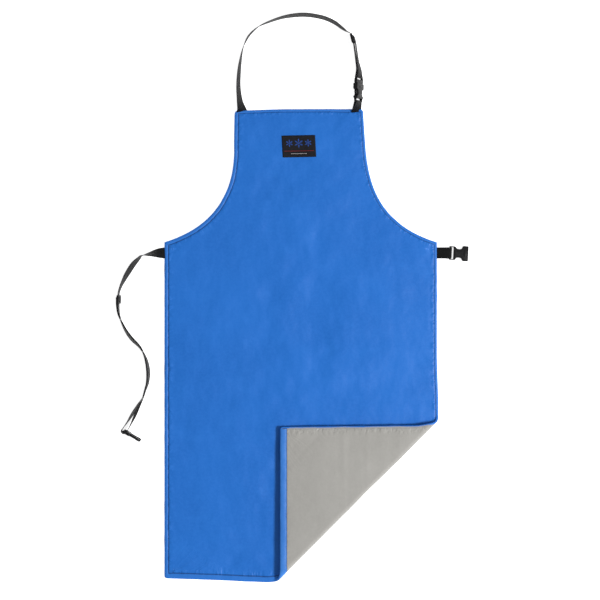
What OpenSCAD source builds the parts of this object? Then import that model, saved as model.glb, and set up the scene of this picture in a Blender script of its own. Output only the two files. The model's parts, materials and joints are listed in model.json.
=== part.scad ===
// Cryogenic apron: a padded, layered bib apron that lies face up with its lower right
// corner folded over the front. Webbing neck loop and waist straps carry moulded
// side-release buckles and three-bar sliders.
// Frame: +X to the wearer's left hand as seen from the front, +Y to the bib, +Z out of
// the front. The origin is the middle of the body's rest face.

/* [Apron body] */
// Width across the skirt
body_w = 610; // [570:5:650]
// Length from the bib's top edge to the hem
body_l = 1055; // [980:5:1120]
// Width of the bib at its top edge
bib_w = 288; // [270:2:300]
// Depth from the bib's top edge to the armholes' lower ends
bib_drop = 298; // [290:1:315]
// Length of the bib's straight sides above the armholes
bib_side = 79; // [70:1:90]
// Radius of the bib's top corners
bib_corner_r = 8; // [4:1:12]
// Radius of the skirt's bottom corners
hem_corner_r = 6; // [3:1:10]

/* [Cloth layers] */
// Thickness of the lining
lining_t = 0.5; // [0.4:0.1:0.8]
// Thickness of the insulation batt, sewn down
core_t = 3.6; // [3:0.1:4.5]
// Thickness of the moisture barrier film
barrier_t = 0.3; // [0.2:0.1:0.4]
// Thickness of the outer shell cloth
shell_t = 0.6; // [0.5:0.1:0.8]
// Width of shell cloth turned onto the back along the sides
turn_in = 3; // [2:0.5:5]
// Width of the hem facing on the back
hem_depth = 15; // [12:1:20]

/* [Folded corner] */
// x minus y everywhere along the crease
crease_at = 481; // [460:1:500]
// Radius of the bend at the middle of the cloth
bend_r = 9; // [8:0.5:11]
// Angle left open at each end of the bend, so that it can turn on its hinges
bend_relief = 10; // [10:1:14]

/* [Label] */
// Width of the woven label
label_w = 75; // [60:1:90]
// Height of the woven label
label_h = 49; // [40:1:55]
// Distance from the bib's top edge down to the label
label_drop = 59; // [50:1:70]
// Thickness of the label
label_t = 0.8; // [0.6:0.1:1]

/* [Webbing] */
// Width of the webbing
web_w = 25; // [24:0.5:25]
// Thickness of the webbing
web_t = 1.4; // [1.2:0.1:1.5]
// Distance of the waist straps below the armholes
waist_below = 24; // [18:1:30]

/* [Buckles and sliders] */
// Length of the buckle socket
socket_l = 43; // [42:0.5:44]
// Width of the socket at its mouth
mouth_w = 34; // [33:0.5:35]
// Width of the socket across its windows
window_w = 19; // [18:0.5:20]
// Thickness of the socket
socket_t = 10.5; // [10:0.5:11]
// Thickness of the plug
plug_t = 7; // [6.5:0.5:7.5]
// Length of the slider
slider_l = 20; // [19:0.5:21]
// Free play between parts that slide or turn
play = 0.3; // [0.3:0.05:0.35]

/* [Hidden] */
$fn = 32;

half_w = body_w / 2;
half_l = body_l / 2;
cloth_t = lining_t + core_t + barrier_t + shell_t;
core_z = lining_t;
barrier_z = core_z + core_t;
shell_z = barrier_z + barrier_t;
far = 2000;                                     // longer than any cut through the apron

// The crease runs at 45 degrees. Across it lies u, along it lies v.
crease_u = crease_at / sqrt(2);
bend_len = PI * bend_r;                         // cloth taken up by the bend
bend_u = crease_u - bend_len / 2;               // where the flat cloth starts to bend
bend_z = cloth_t / 2 + bend_r;                  // height of the bend's centre
bend_in = shell_t + 0.1;                        // filling in the bend stops this far inside

// Buckle sizes shared by the plug and the socket, in each one's own frame:
// x runs from the webbing bar towards the mating end, y across, z through.
bar_r = 2.2;
bar_x = 2.6;
cheek_w = 2;                                    // walls at the ends of the bar
cheek_in = web_w / 2 + 0.7;                     // from the middle to the cheeks
slot_end = 10;                                  // end of the slot for the webbing
chamber_w = 27.2;
chamber_h = 6.2;
chamber_x = 13;
plug_body_l = 18;
arm_tip = 45;
arm_in = 8.5;
arm_w = 3;
arm_h = 5.4;
button_out = 15.5;                              // from the middle to the face of a button
neck_buckle_l = socket_l + plug_body_l + play;
loop_r = bar_r + 0.2;                           // inside radius of webbing tight round a bar
slack_r = 5.2;                                  // inside radius of the waist strap's loose loop
slider_bar_t = 2;
slider_gap = web_t + 2 * play + slider_bar_t;   // between webbing layers at a slider
layer_gap = 2;                                  // between webbing layers along a strap

// Strap routes, by hand. Each point is [x, y, lift off the table, roll].
// The neck strap is measured from the middle of the bib's top edge.
neck_route = [
    [-132, 0.5, 0, 44], [-136, 18, 0, 60], [-139, 48, 0, 70], [-138, 78, 0, 74],
    [-135, 103, 0, 80], [-130, 130, 0, 90], [-121, 154, 0, 102], [-111, 168.5, 0, 105],
    [-97, 181, 0, 101], [-80, 190, 0, 92], [-47, 202, 0, 86], [-20, 207.5, 0, 81],
    [7, 209.5, 0, 79], [32, 207, 0, 79], [55, 201.5, 0, 79], [76, 192, 0, 80],
    [92.5, 180, 0, 84], [103.5, 172, 2.4, 94], [111, 168.6, 3.6, 99], [113.4, 166.2, 3.6, 99],
    [116, 156, 3.6, 99], [118.3, 146, 3.6, 99], [120.8, 129, 3.6, 99], [123.8, 107, 4, 101],
    [127.2, 88, 4.5, 108], [127, 71, 5, 118]
];
// The waist strap is measured from the seam in the left side.
waist_route = [
    [-0.5, 0, 1, 10], [-14, -0.5, 1, 34], [-28, -2, 0.4, 60], [-49, -6, 0, 90],
    [-56, -12, 0, 101], [-69, -26, 0, 112], [-82, -46, 0, 111], [-89, -59, 0, 105],
    [-96.5, -75, 1.2, 97], [-101, -90, 3.4, 93], [-101.2, -104, 3.4, 93],
    [-101.4, -118, 3.4, 93], [-99.6, -137, 1.4, 89], [-93, -156, 0, 81], [-84, -174, 0, 75],
    [-71, -192, 0, 72], [-54, -209, 0, 78], [-43.5, -227, 0, 88], [-37.5, -245, 0, 96],
    [-34.5, -267, 0, 99], [-36, -290, 0, 95], [-41.5, -308, 0, 90], [-47, -326, 0, 86],
    [-56, -344, 0, 78], [-65, -363, 0, 74], [-74.5, -383, 1.8, 83], [-83.5, -400, 3, 90]
];
neck_slider_point = 20;                         // the route's point inside the slider
waist_slider_point = 10;
route_steps = 3;                                // rings between two points of a route
waist_plug_heading = -31;
waist_plug_lift = 0.6;
waist_y = half_l - bib_drop - waist_below;
waist_socket_at = [half_w + 26.5, waist_y, socket_t / 2];
waist_socket_heading = -3;

// ---------------------------------------------------------------- curves

function bezier(a, b, c, d, t) =
    a * pow(1 - t, 3) + 3 * b * t * pow(1 - t, 2) + 3 * c * t * t * (1 - t) + d * pow(t, 3);

function arc(centre, r, from, to, steps) =
    [for (i = [0:steps]) let (a = from + (to - from) * i / steps)
        centre + r * [cos(a), sin(a)]];

function unit(p) = p / norm(p);

// Right half of the outline, from the bib's top edge down to the hem
right_side = concat(
    arc([bib_w / 2 - bib_corner_r, half_l - bib_corner_r], bib_corner_r, 90, 8, 5),
    [for (i = [0:22])
        bezier(
            [bib_w / 2 + 3, half_l - bib_side],
            [bib_w / 2 + 4, half_l - bib_side - 112],
            [half_w - 110, half_l - bib_drop + 34],
            [half_w, half_l - bib_drop],
            i / 22)],
    arc([half_w - hem_corner_r, -half_l + hem_corner_r], hem_corner_r, 0, -90, 4)
);
outline = concat(
    right_side,
    [for (i = [len(right_side) - 1:-1:0]) [-right_side[i][0], right_side[i][1]]]
);

// The outline moved inwards by d: each corner moves along its own bisector
function inset(d) = let (n = len(outline))
    [for (i = [0:n - 1]) let (
        before = unit(outline[i] - outline[(i + n - 1) % n]),
        after = unit(outline[(i + 1) % n] - outline[i]),
        in_before = [before[1], -before[0]],
        in_after = [after[1], -after[0]]
    ) outline[i] + d * (in_before + in_after) / (1 + in_before * in_after)];

// A smooth curve through four stations, at t between the middle two
function spline(a, b, c, d, t) = (
    2 * b + (c - a) * t + (2 * a - 5 * b + 4 * c - d) * t * t
    + (3 * b - a - 3 * c + d) * t * t * t) / 2;

function smooth(route) = let (last = len(route) - 1) concat(
    [for (i = [0:last - 1], k = [0:route_steps - 1])
        spline(route[max(i - 1, 0)], route[i], route[i + 1], route[min(i + 2, last)],
            k / route_steps)],
    [route[last]]);

function part_of(list, from, to) = [for (i = [from:to]) list[i]];

// Height of the middle of webbing that stands on the table at this roll
function standing(roll) = (web_w * abs(sin(roll)) + web_t * abs(cos(roll))) / 2;

// Middle of the webbing at one ring, with its directions along, across and through
function frame_at(path, i) = let (
    last = len(path) - 1,
    ahead = path[min(i + 1, last)],
    behind = path[max(i - 1, 0)],
    t = unit([ahead[0] - behind[0], ahead[1] - behind[1]]),
    roll = path[i][3]
) [
    [path[i][0], path[i][1], standing(roll) + path[i][2]],
    [t[0], t[1], 0],
    [-t[1] * cos(roll), t[0] * cos(roll), sin(roll)],
    [t[1] * sin(roll), -t[0] * sin(roll), cos(roll)]
];

// Four corners of the webbing at one ring; side moves it off its own middle plane
function ring(path, i, side) = let (
    f = frame_at(path, i),
    mid = f[0] + side * f[3],
    at = [mid[0], mid[1], max(mid[2], standing(path[i][3]))]
) [for (corner = [[-1, -1], [1, -1], [1, 1], [-1, 1]])
    at + corner[0] * f[2] * web_w / 2 + corner[1] * f[3] * web_t / 2];

// Sideways place along a strap: its own value near each end, and another between
function side_at(sides, s) =
    sides[1] + (sides[0] - sides[1]) * max(0, 1 - s / 0.2)
    + (sides[2] - sides[1]) * max(0, (s - 0.75) / 0.25);

neck_path = [for (p = smooth(neck_route)) p + [0, half_l, 0, 0]];
waist_path = [for (p = smooth(waist_route)) p + [-half_w, waist_y, 0, 0]];
neck_slider_ring = neck_slider_point * route_steps;
waist_slider_ring = waist_slider_point * route_steps;

// ---------------------------------------------------------------- shared shapes

// Solid through four-cornered rings, closed at both ends
module sweep(rings) {
    last = len(rings) - 1;
    walls = [for (i = [0:last - 1], k = [0:3]) let (
        a = 4 * i + k, b = 4 * i + (k + 1) % 4
    ) each [[a, a + 4, b + 4], [a, b + 4, b]]];
    end = 4 * last;
    caps = [[0, 1, 2], [0, 2, 3], [end + 2, end + 1, end], [end + 3, end + 2, end]];
    polyhedron([for (r = rings) each r], concat(walls, caps));
}

// Rings of webbing along a path
function along(path, sides = [0, 0, 0]) = let (last = len(path) - 1)
    [for (i = [0:last]) ring(path, i, side_at(sides, i / last))];

// Rings that go on from a path's end half way round a bar, at side +1 or -1 of the webbing
function round_bar(path, side, r) = let (
    f = frame_at(path, len(path) - 1),
    bar = side * (r + web_t / 2)
) [for (turn = [22.5:22.5:180]) [for (corner = [[-1, -1], [1, -1], [1, 1], [-1, 1]]) let (
        reach = side * (bar - corner[1] * web_t / 2)
    ) f[0] + reach * sin(turn) * f[1] + corner[0] * web_w / 2 * f[2]
        + (bar - side * reach * cos(turn)) * f[3]]];

// Children in the webbing's own frame at a ring: x along it, y across, z through
module on_webbing(path, i) {
    f = frame_at(path, i);
    multmatrix([for (row = [0:2]) [f[1][row], f[2][row], f[3][row], f[0][row]]]) children();
}

// Children on the bar that a strap's end goes round, at side +1 or -1 of the webbing
module on_bar(path, side, r) {
    on_webbing(path, len(path) - 1) translate([0, 0, side * (r + web_t / 2)]) children();
}

// Rod across the webbing, at a bar
module bar_round(r, l) { rotate([90, 0, 0]) cylinder(r = r, h = l, center = true); }

module place(at, heading, roll) {
    translate(at) rotate([0, 0, heading]) rotate([roll, 0, 0]) children();
}

// The apron's outline as a slab
module slab(d, z_from, z_to) {
    translate([0, 0, z_from]) linear_extrude(z_to - z_from) polygon(inset(d));
}

module hem_zone() {
    translate([-far, -half_l - 1, -1]) cube([2 * far, hem_depth + 1, lining_t + 2]);
}

// Keeps the flat cloth before the bend
module before_bend() {
    intersection() {
        children();
        rotate([0, 0, -45]) translate([bend_u - far, -far, -far]) cube([far, 2 * far, 2 * far]);
    }
}

// Keeps the flat cloth after the bend and turns it over the front
module after_bend() {
    rotate([0, 0, -45]) translate([crease_u, 0, bend_z]) rotate([0, 180, 0])
        translate([-crease_u, 0, -bend_z]) intersection() {
            rotate([0, 0, 45]) children();
            translate([bend_u + bend_len, -far, -far]) cube([far, 2 * far, 2 * far]);
        }
}

// A layer of cloth going round the bend, between two heights in the flat cloth.
// It stops short of the side seam by side_in and of the hem by hem_in.
module bent_layer(z_from, z_to, side_in, hem_in) {
    steps = 32;
    rings = [for (i = [0:steps]) let (
        turn = bend_relief + (180 - 2 * bend_relief) * i / steps,
        flat_u = bend_u + bend_r * turn * PI / 180,
        v_side = sqrt(2) * (half_w - side_in) - flat_u,
        v_hem = flat_u - sqrt(2) * (half_l - hem_in),
        inner = bend_z - z_to,
        outer = bend_z - z_from
    ) [
        [bend_u + outer * sin(turn), v_hem, bend_z - outer * cos(turn)],
        [bend_u + outer * sin(turn), v_side, bend_z - outer * cos(turn)],
        [bend_u + inner * sin(turn), v_side, bend_z - inner * cos(turn)],
        [bend_u + inner * sin(turn), v_hem, bend_z - inner * cos(turn)]
    ]];
    rotate([0, 0, -45]) sweep(rings);
}

// ---------------------------------------------------------------- cloth, laid flat

module flat_shell() {
    difference() {
        slab(0, 0, cloth_t);
        slab(shell_t, -1, shell_z);
    }
    difference() {
        slab(shell_t, 0, lining_t);
        slab(turn_in, -1, lining_t + 1);
        hem_zone();
    }
}

module flat_barrier() { slab(shell_t, barrier_z, shell_z); }

module flat_core() { slab(shell_t, core_z, barrier_z); }

module flat_lining() {
    difference() {
        slab(turn_in, 0, lining_t);
        hem_zone();
    }
}

module flat_hem_facing() {
    intersection() {
        slab(shell_t, 0, lining_t);
        hem_zone();
    }
}

// ---------------------------------------------------------------- body of the apron

module outer_shell() { color([0.16, 0.45, 0.82]) before_bend() flat_shell(); }

module moisture_barrier() { color([0.86, 0.88, 0.9]) before_bend() flat_barrier(); }

module insulation_core() { color([0.93, 0.92, 0.86]) before_bend() flat_core(); }

module lining() { color([0.66, 0.65, 0.63]) before_bend() flat_lining(); }

module hem_facing() { color([0.26, 0.51, 0.85]) before_bend() flat_hem_facing(); }

module label() {
    color([0.1, 0.1, 0.13])
        translate([-label_w / 2 - 2, half_l - label_drop - label_h, cloth_t])
        cube([label_w, label_h, label_t]);
}

// ---------------------------------------------------------------- bend of the folded corner

module bend_shell() {
    color([0.16, 0.45, 0.82]) {
        difference() {
            bent_layer(0, cloth_t, 0, 0);
            bent_layer(-1, shell_z, shell_t, shell_t);
        }
        difference() {
            bent_layer(0, lining_t, shell_t / 2, hem_depth);
            bent_layer(-1, lining_t + 1, turn_in, 0);
        }
    }
}

module bend_barrier() {
    color([0.86, 0.88, 0.9]) bent_layer(barrier_z, shell_z, bend_in, bend_in);
}

module bend_core() {
    color([0.93, 0.92, 0.86]) bent_layer(core_z, barrier_z, bend_in, bend_in);
}

module bend_lining() {
    color([0.66, 0.65, 0.63]) bent_layer(0, lining_t, turn_in, hem_depth);
}

module bend_hem_facing() {
    color([0.26, 0.51, 0.85]) difference() {
        bent_layer(0, lining_t, shell_t, shell_t);
        bent_layer(-1, lining_t + 1, 0, hem_depth);
    }
}

// ---------------------------------------------------------------- corner turned over the front

module corner_shell() { color([0.16, 0.45, 0.82]) after_bend() flat_shell(); }

module corner_barrier() { color([0.86, 0.88, 0.9]) after_bend() flat_barrier(); }

module corner_core() { color([0.93, 0.92, 0.86]) after_bend() flat_core(); }

module corner_lining() { color([0.66, 0.65, 0.63]) after_bend() flat_lining(); }

module corner_hem_facing() { color([0.26, 0.51, 0.85]) after_bend() flat_hem_facing(); }

// ---------------------------------------------------------------- moulded hardware

// Webbing bar between two cheeks, at the rear of a socket or a plug
module bar_end(t) {
    translate([bar_x, 0, 0]) rotate([90, 0, 0])
        cylinder(r = bar_r, h = 2 * cheek_in + 1, center = true);
    for (side = [-1, 1]) translate([0, side * (cheek_in + cheek_w / 2), 0]) {
        translate([bar_x, 0, 0]) rotate([90, 0, 0])
            cylinder(r = bar_x, h = cheek_w, center = true);
        translate([bar_x, -cheek_w / 2, -bar_x]) cube([slot_end - bar_x + 1, cheek_w, 2 * bar_x]);
    }
    translate([slot_end, -cheek_in - cheek_w, -t / 2])
        cube([3, 2 * (cheek_in + cheek_w), t]);
}

module socket() {
    mouth_ring = 13;
    waist_from = slot_end + 3;
    difference() {
        union() {
            bar_end(socket_t - 1);
            translate([waist_from - 1, -window_w / 2, -socket_t / 2])
                cube([socket_l - waist_from, window_w, socket_t]);
            translate([socket_l - mouth_ring, -mouth_w / 2, -socket_t / 2])
                cube([mouth_ring, mouth_w, socket_t]);
            for (side = [-1, 1]) translate([socket_l - mouth_ring, side * window_w / 2, 0])
                cylinder(r = 3, h = socket_t, center = true);
        }
        translate([chamber_x, -chamber_w / 2, -chamber_h / 2])
            cube([socket_l, chamber_w, chamber_h]);
    }
}

module plug_frame() {
    tongue_w = 7;
    tongue_h = 3.4;
    bar_end(plug_t);
    translate([slot_end + 2, -mouth_w / 2 + 1, -plug_t / 2])
        cube([plug_body_l - slot_end - 2, mouth_w - 2, plug_t]);
    translate([plug_body_l - 1, -tongue_w / 2, -tongue_h / 2])
        cube([arm_tip - plug_body_l - 3, tongue_w, tongue_h]);
    translate([arm_tip - 4, 0, 0]) cylinder(r = tongue_w / 2, h = tongue_h, center = true);
}

// One springy arm on side +1 or -1, from its root to its hooked button
module plug_arm(side) {
    button_l = 9;
    mirror([0, side < 0 ? 1 : 0, 0]) {
        translate([plug_body_l + play, arm_in, -arm_h / 2])
            cube([arm_tip - plug_body_l - play - 2, arm_w, arm_h]);
        translate([arm_tip - 2 - button_l, arm_in, -arm_h / 2]) linear_extrude(arm_h)
            polygon([
                [0, 0], [0, button_out - arm_in], [button_l - 4, button_out - arm_in],
                [button_l + 1, arm_w], [button_l + 2, 0]]);
    }
}

// Three-bar slider. Webbing runs between its end bars below and its middle bar above.
module slider() {
    bar_w = 3;
    rail_w = 2.4;
    z_in = web_t / 2 + play;
    for (side = [-1, 1]) {
        translate([0, side * (cheek_in + rail_w / 2), 0])
            cube([slider_l, rail_w, 2 * (z_in + slider_bar_t)], center = true);
        translate([side * (slider_l - bar_w) / 2, 0, -z_in - slider_bar_t / 2])
            cube([bar_w, 2 * cheek_in + 2, slider_bar_t], center = true);
    }
    translate([0, 0, z_in + slider_bar_t / 2])
        cube([bar_w, 2 * cheek_in + 2, slider_bar_t], center = true);
}

// ---------------------------------------------------------------- neck loop

module at_neck_plug() {
    on_bar(neck_path, -1, loop_r) rotate([180, 0, 0]) translate([-bar_x, 0, 0]) children();
}

module at_neck_socket() {
    at_neck_plug() translate([neck_buckle_l, 0, 0]) rotate([0, 0, 180]) children();
}

module neck_tab() {
    seam = [125.5, half_l + 0.5, 9.6];
    color([0.14, 0.14, 0.15]) difference() {
        hull() {
            at_neck_socket() translate([bar_x, 0, 0]) bar_round(loop_r + web_t, web_w);
            place(seam, 90, 42) cube([0.2, web_w, 2 * web_t], center = true);
        }
        at_neck_socket() translate([bar_x, 0, 0]) bar_round(loop_r, 2 * web_w);
    }
}

module neck_socket() { color([0.11, 0.11, 0.12]) at_neck_socket() socket(); }

module neck_strap() {
    color([0.14, 0.14, 0.15]) sweep(concat(along(neck_path), round_bar(neck_path, -1, loop_r)));
}

module neck_strap_tail() {
    color([0.17, 0.17, 0.18])
        sweep(along(part_of(neck_path, neck_slider_ring - 1, len(neck_path) - 1),
            -[slider_gap, slider_gap, 2 * loop_r + web_t]));
}

module neck_plug_frame() { color([0.11, 0.11, 0.12]) at_neck_plug() plug_frame(); }

module neck_plug_arm_left() { color([0.11, 0.11, 0.12]) at_neck_plug() plug_arm(-1); }

module neck_plug_arm_right() { color([0.11, 0.11, 0.12]) at_neck_plug() plug_arm(1); }

module neck_slider() {
    color([0.11, 0.11, 0.12])
        on_webbing(neck_path, neck_slider_ring) rotate([180, 0, 0]) slider();
}

// ---------------------------------------------------------------- waist, tab side

module at_waist_socket() { place(waist_socket_at, waist_socket_heading, 0) children(); }

module waist_tab() {
    color([0.14, 0.14, 0.15]) difference() {
        hull() {
            at_waist_socket() translate([bar_x, 0, 0]) bar_round(loop_r + web_t, web_w);
            translate([half_w + 0.5, waist_y + 0.5, 2.6])
                cube([0.2, web_w, 2 * web_t], center = true);
        }
        at_waist_socket() translate([bar_x, 0, 0]) bar_round(loop_r, 2 * web_w);
    }
}

module waist_socket() { color([0.11, 0.11, 0.12]) at_waist_socket() socket(); }

// ---------------------------------------------------------------- waist, strap side

// The plug stands on its edge and turns about its bar, which stands upright
module at_waist_plug() {
    bar = frame_at(waist_path, len(waist_path) - 1);
    translate(bar[0] + (slack_r + web_t / 2) * bar[3] + [0, 0, waist_plug_lift])
        rotate([0, 0, waist_plug_heading]) rotate([90, 0, 0])
        translate([-bar_x, 0, 0]) children();
}

module waist_strap() {
    color([0.14, 0.14, 0.15]) sweep(concat(along(waist_path), round_bar(waist_path, 1, slack_r)));
}

module waist_strap_tail() {
    color([0.17, 0.17, 0.18])
        sweep(along(part_of(waist_path, waist_slider_ring - 1, len(waist_path) - 1),
            [slider_gap, layer_gap, 2 * slack_r + web_t]));
}

module waist_plug_frame() { color([0.11, 0.11, 0.12]) at_waist_plug() plug_frame(); }

module waist_plug_arm_left() { color([0.11, 0.11, 0.12]) at_waist_plug() plug_arm(-1); }

module waist_plug_arm_right() { color([0.11, 0.11, 0.12]) at_waist_plug() plug_arm(1); }

module waist_slider() {
    color([0.11, 0.11, 0.12]) on_webbing(waist_path, waist_slider_ring) slider();
}

outer_shell();
moisture_barrier();
insulation_core();
lining();
hem_facing();
label();
bend_shell();
bend_barrier();
bend_core();
bend_lining();
bend_hem_facing();
corner_shell();
corner_barrier();
corner_core();
corner_lining();
corner_hem_facing();
neck_tab();
neck_socket();
neck_strap();
neck_strap_tail();
neck_plug_frame();
neck_plug_arm_left();
neck_plug_arm_right();
neck_slider();
waist_tab();
waist_socket();
waist_strap();
waist_strap_tail();
waist_plug_frame();
waist_plug_arm_left();
waist_plug_arm_right();
waist_slider();
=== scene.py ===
"""Looks of the cryogenic apron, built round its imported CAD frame. Lengths are in metres."""

import json
import math

import bmesh
import bpy
import numpy as np
from mathutils import Matrix, Vector, noise
from mathutils.geometry import delaunay_2d_cdt


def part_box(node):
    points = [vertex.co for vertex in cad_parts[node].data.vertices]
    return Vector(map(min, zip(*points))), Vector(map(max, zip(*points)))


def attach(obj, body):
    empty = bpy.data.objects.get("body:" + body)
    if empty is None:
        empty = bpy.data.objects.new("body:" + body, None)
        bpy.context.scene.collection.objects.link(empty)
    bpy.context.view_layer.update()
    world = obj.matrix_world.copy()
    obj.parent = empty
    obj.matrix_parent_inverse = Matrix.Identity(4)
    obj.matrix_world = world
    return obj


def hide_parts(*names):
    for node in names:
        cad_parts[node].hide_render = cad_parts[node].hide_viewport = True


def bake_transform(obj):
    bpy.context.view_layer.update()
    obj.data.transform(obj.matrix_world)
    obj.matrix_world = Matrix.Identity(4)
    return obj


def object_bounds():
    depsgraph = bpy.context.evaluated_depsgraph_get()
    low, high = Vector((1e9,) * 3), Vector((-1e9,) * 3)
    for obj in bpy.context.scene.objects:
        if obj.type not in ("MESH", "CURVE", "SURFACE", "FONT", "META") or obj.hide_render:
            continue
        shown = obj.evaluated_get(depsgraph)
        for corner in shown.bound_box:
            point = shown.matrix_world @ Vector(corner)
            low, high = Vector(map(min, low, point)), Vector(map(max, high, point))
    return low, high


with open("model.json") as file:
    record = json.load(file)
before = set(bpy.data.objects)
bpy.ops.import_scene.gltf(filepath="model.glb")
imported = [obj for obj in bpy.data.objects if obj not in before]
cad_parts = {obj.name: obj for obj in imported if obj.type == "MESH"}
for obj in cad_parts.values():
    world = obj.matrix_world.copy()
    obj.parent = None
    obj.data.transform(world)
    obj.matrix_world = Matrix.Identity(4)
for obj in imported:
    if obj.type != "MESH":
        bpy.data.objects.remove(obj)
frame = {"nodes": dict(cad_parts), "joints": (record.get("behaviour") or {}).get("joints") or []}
cad_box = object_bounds()
scene = bpy.context.scene
joints = {j["name"]: j for j in frame["joints"]}

MM = 0.001
ROOT2 = math.sqrt(2)

# ---- sizes, from the frame

shell_low, shell_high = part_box("outer_shell")
CLOTH = shell_high.z
HALF_W = shell_high.x
HALF_L = -shell_low.y
hinge_low = joints["corner_unfold_lower"]["pos_m"]
hinge_high = joints["corner_unfold_upper"]["pos_m"]
BEND_R = 2 * (hinge_high[2] - hinge_low[2]) / math.pi
BEND_Z = (hinge_high[2] + hinge_low[2]) / 2
BEND_U = math.hypot(hinge_low[0], hinge_low[1]) - math.pi * BEND_R / 4
CREASE_U = BEND_U + math.pi * BEND_R / 2
WEB_W = 25 * MM
WEB_T = 1.4 * MM


def node_points(node):
    return np.array([v.co for v in frame["nodes"][node].data.vertices], float)


def outline():
    """The apron's outline, counterclockwise from the bib's left top corner, about 6 mm a step."""
    co = node_points("outer_shell")
    on_crease = abs(co[:, 0] - co[:, 1] - ROOT2 * BEND_U) < 1e-4
    kept = co[(abs(co[:, 2] - CLOTH) < 1e-5) & (co[:, 0] < -1e-3) & ~on_crease]
    left = sorted({(round(x, 5), round(y, 5)) for x, y, _ in kept.tolist()}, key=lambda p: -p[1])
    ring = [np.array(p) for p in left] + [np.array((-x, y)) for x, y in reversed(left)]
    out = []
    for a, b in zip(ring, ring[1:] + ring[:1]):
        length = float(np.linalg.norm(b - a))
        if length > 2e-4:
            n = max(1, round(length / (6 * MM)))
            out += [a + (b - a) * k / n for k in range(n)]
    return np.array(out)


OUT = outline()
NEXT = np.roll(OUT, -1, 0)
STEP = NEXT - OUT
STEP_LEN = np.linalg.norm(STEP, axis=1)
ALONG = STEP / STEP_LEN[:, None]
ARC = np.concatenate([[0], np.cumsum(STEP_LEN)])


def edge_normals():
    """Inward direction at each outline point, scaled so that both edges move in by one."""
    a, b = np.roll(ALONG, 1, 0), ALONG
    na = np.stack([-a[:, 1], a[:, 0]], 1)
    nb = np.stack([-b[:, 1], b[:, 0]], 1)
    return (na + nb) / (1 + (na * nb).sum(1))[:, None]


INWARD = edge_normals()


def to_edge(x, y):
    """Distance from the outline, place along it, and direction outwards, of flat cloth points."""
    p = np.stack([x, y], 1)
    dist, arc, out = np.empty(len(p)), np.empty(len(p)), np.empty((len(p), 2))
    for i in range(0, len(p), 4000):
        q = p[i : i + 4000, None, :] - OUT[None]
        t = np.clip((q * STEP).sum(2) / STEP_LEN**2, 0, 1)
        gap = q - t[..., None] * STEP
        far = np.linalg.norm(gap, axis=2)
        k = far.argmin(1)
        rows = np.arange(len(k))
        dist[i : i + 4000] = far[rows, k]
        arc[i : i + 4000] = ARC[k] + t[rows, k] * STEP_LEN[k]
        out[i : i + 4000] = -gap[rows, k] / np.maximum(far[rows, k], 1e-9)[:, None]
    return dist, arc, out


def smooth(x, low, high):
    t = np.clip((x - low) / (high - low), 0, 1)
    return t * t * (3 - 2 * t)


def wave(a, b, la, lb, seed):
    """Noise from -1 to 1 over a and b, with these sizes of feature."""
    return np.array([noise.noise((p, q, seed)) for p, q in zip(a / la, b / lb)])


def stitch_inset(arc):
    """How far in the topstitching runs: wider on the left side, widest along the hem."""
    corner = [int(np.argmin(np.linalg.norm(OUT - np.array(c), axis=1))) for c in (
        (-HALF_W, -HALF_L), (HALF_W, -HALF_L), (OUT[-1][0], HALF_L))]
    left_end, hem_end, right_end = (ARC[c] for c in corner)
    turn = 14 * MM
    at = [0, turn, left_end - turn, left_end + turn, hem_end - turn, hem_end + turn,
          right_end - turn, right_end + turn, ARC[-1]]
    inset = [8.2, 9, 9, 13, 13, 6.5, 6.5, 7.5, 7.5]
    return np.interp(arc, at, np.array(inset) * MM)


# ---- lie of the cloth

ROLL = 3 * MM  # depth of the rolled edge
LOFT = 1.3  # crown of the padding, in mm
LINING_STITCH = 5.5 * MM  # the back's topstitching, in from the edge
FACING_W, HEM_STITCH = 17 * MM, 13.6 * MM  # the hem facing, and its seam up from the hem
FLAP_RISE = 40 * MM  # from the crease to where the corner lies free
# Each fold is its height in mm, its sizes in metres the two ways, and its noise's seed.
BROAD_FOLD = (3.0, 0.16, 0.34, 3.1)
CROSS_FOLD = (1.6, 0.07, 0.15, 8.7)
SMALL_FOLD = (0.9, 0.035, 0.09, 5.3)
SEAM_TUCK = (0.7, 11 * MM, 60 * MM, 1.7)
LONG_TUCK = (0.42, 27 * MM, 90 * MM, 4.4)
QUILT = (1.2, 0.04, 0.085, 6.1)
QUILT_CROSS = (0.5, 0.045, 0.018, 2.6)
LINING_BILLOW = (0.63, 0.05, 0.13, 9.4)
LINING_RIPPLE = (0.35, 0.03, 0.07, 7.9)
LINING_CRINKLE = (1.5, 9 * MM, 45 * MM, 6.6)
LINING_PLEAT = (1.2, 22 * MM, 70 * MM, 2.2)


def fold(a, b, kind):
    height, size_a, size_b, seed = kind
    return height * wave(a, b, size_a, size_b, seed)


def ridge(d, at, width):
    return np.exp(-(((d - at) / width) ** 2))


def edge_profile(d):
    return np.sqrt(1 - (1 - np.clip(d, 0, ROLL) / ROLL) ** 2)


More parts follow.
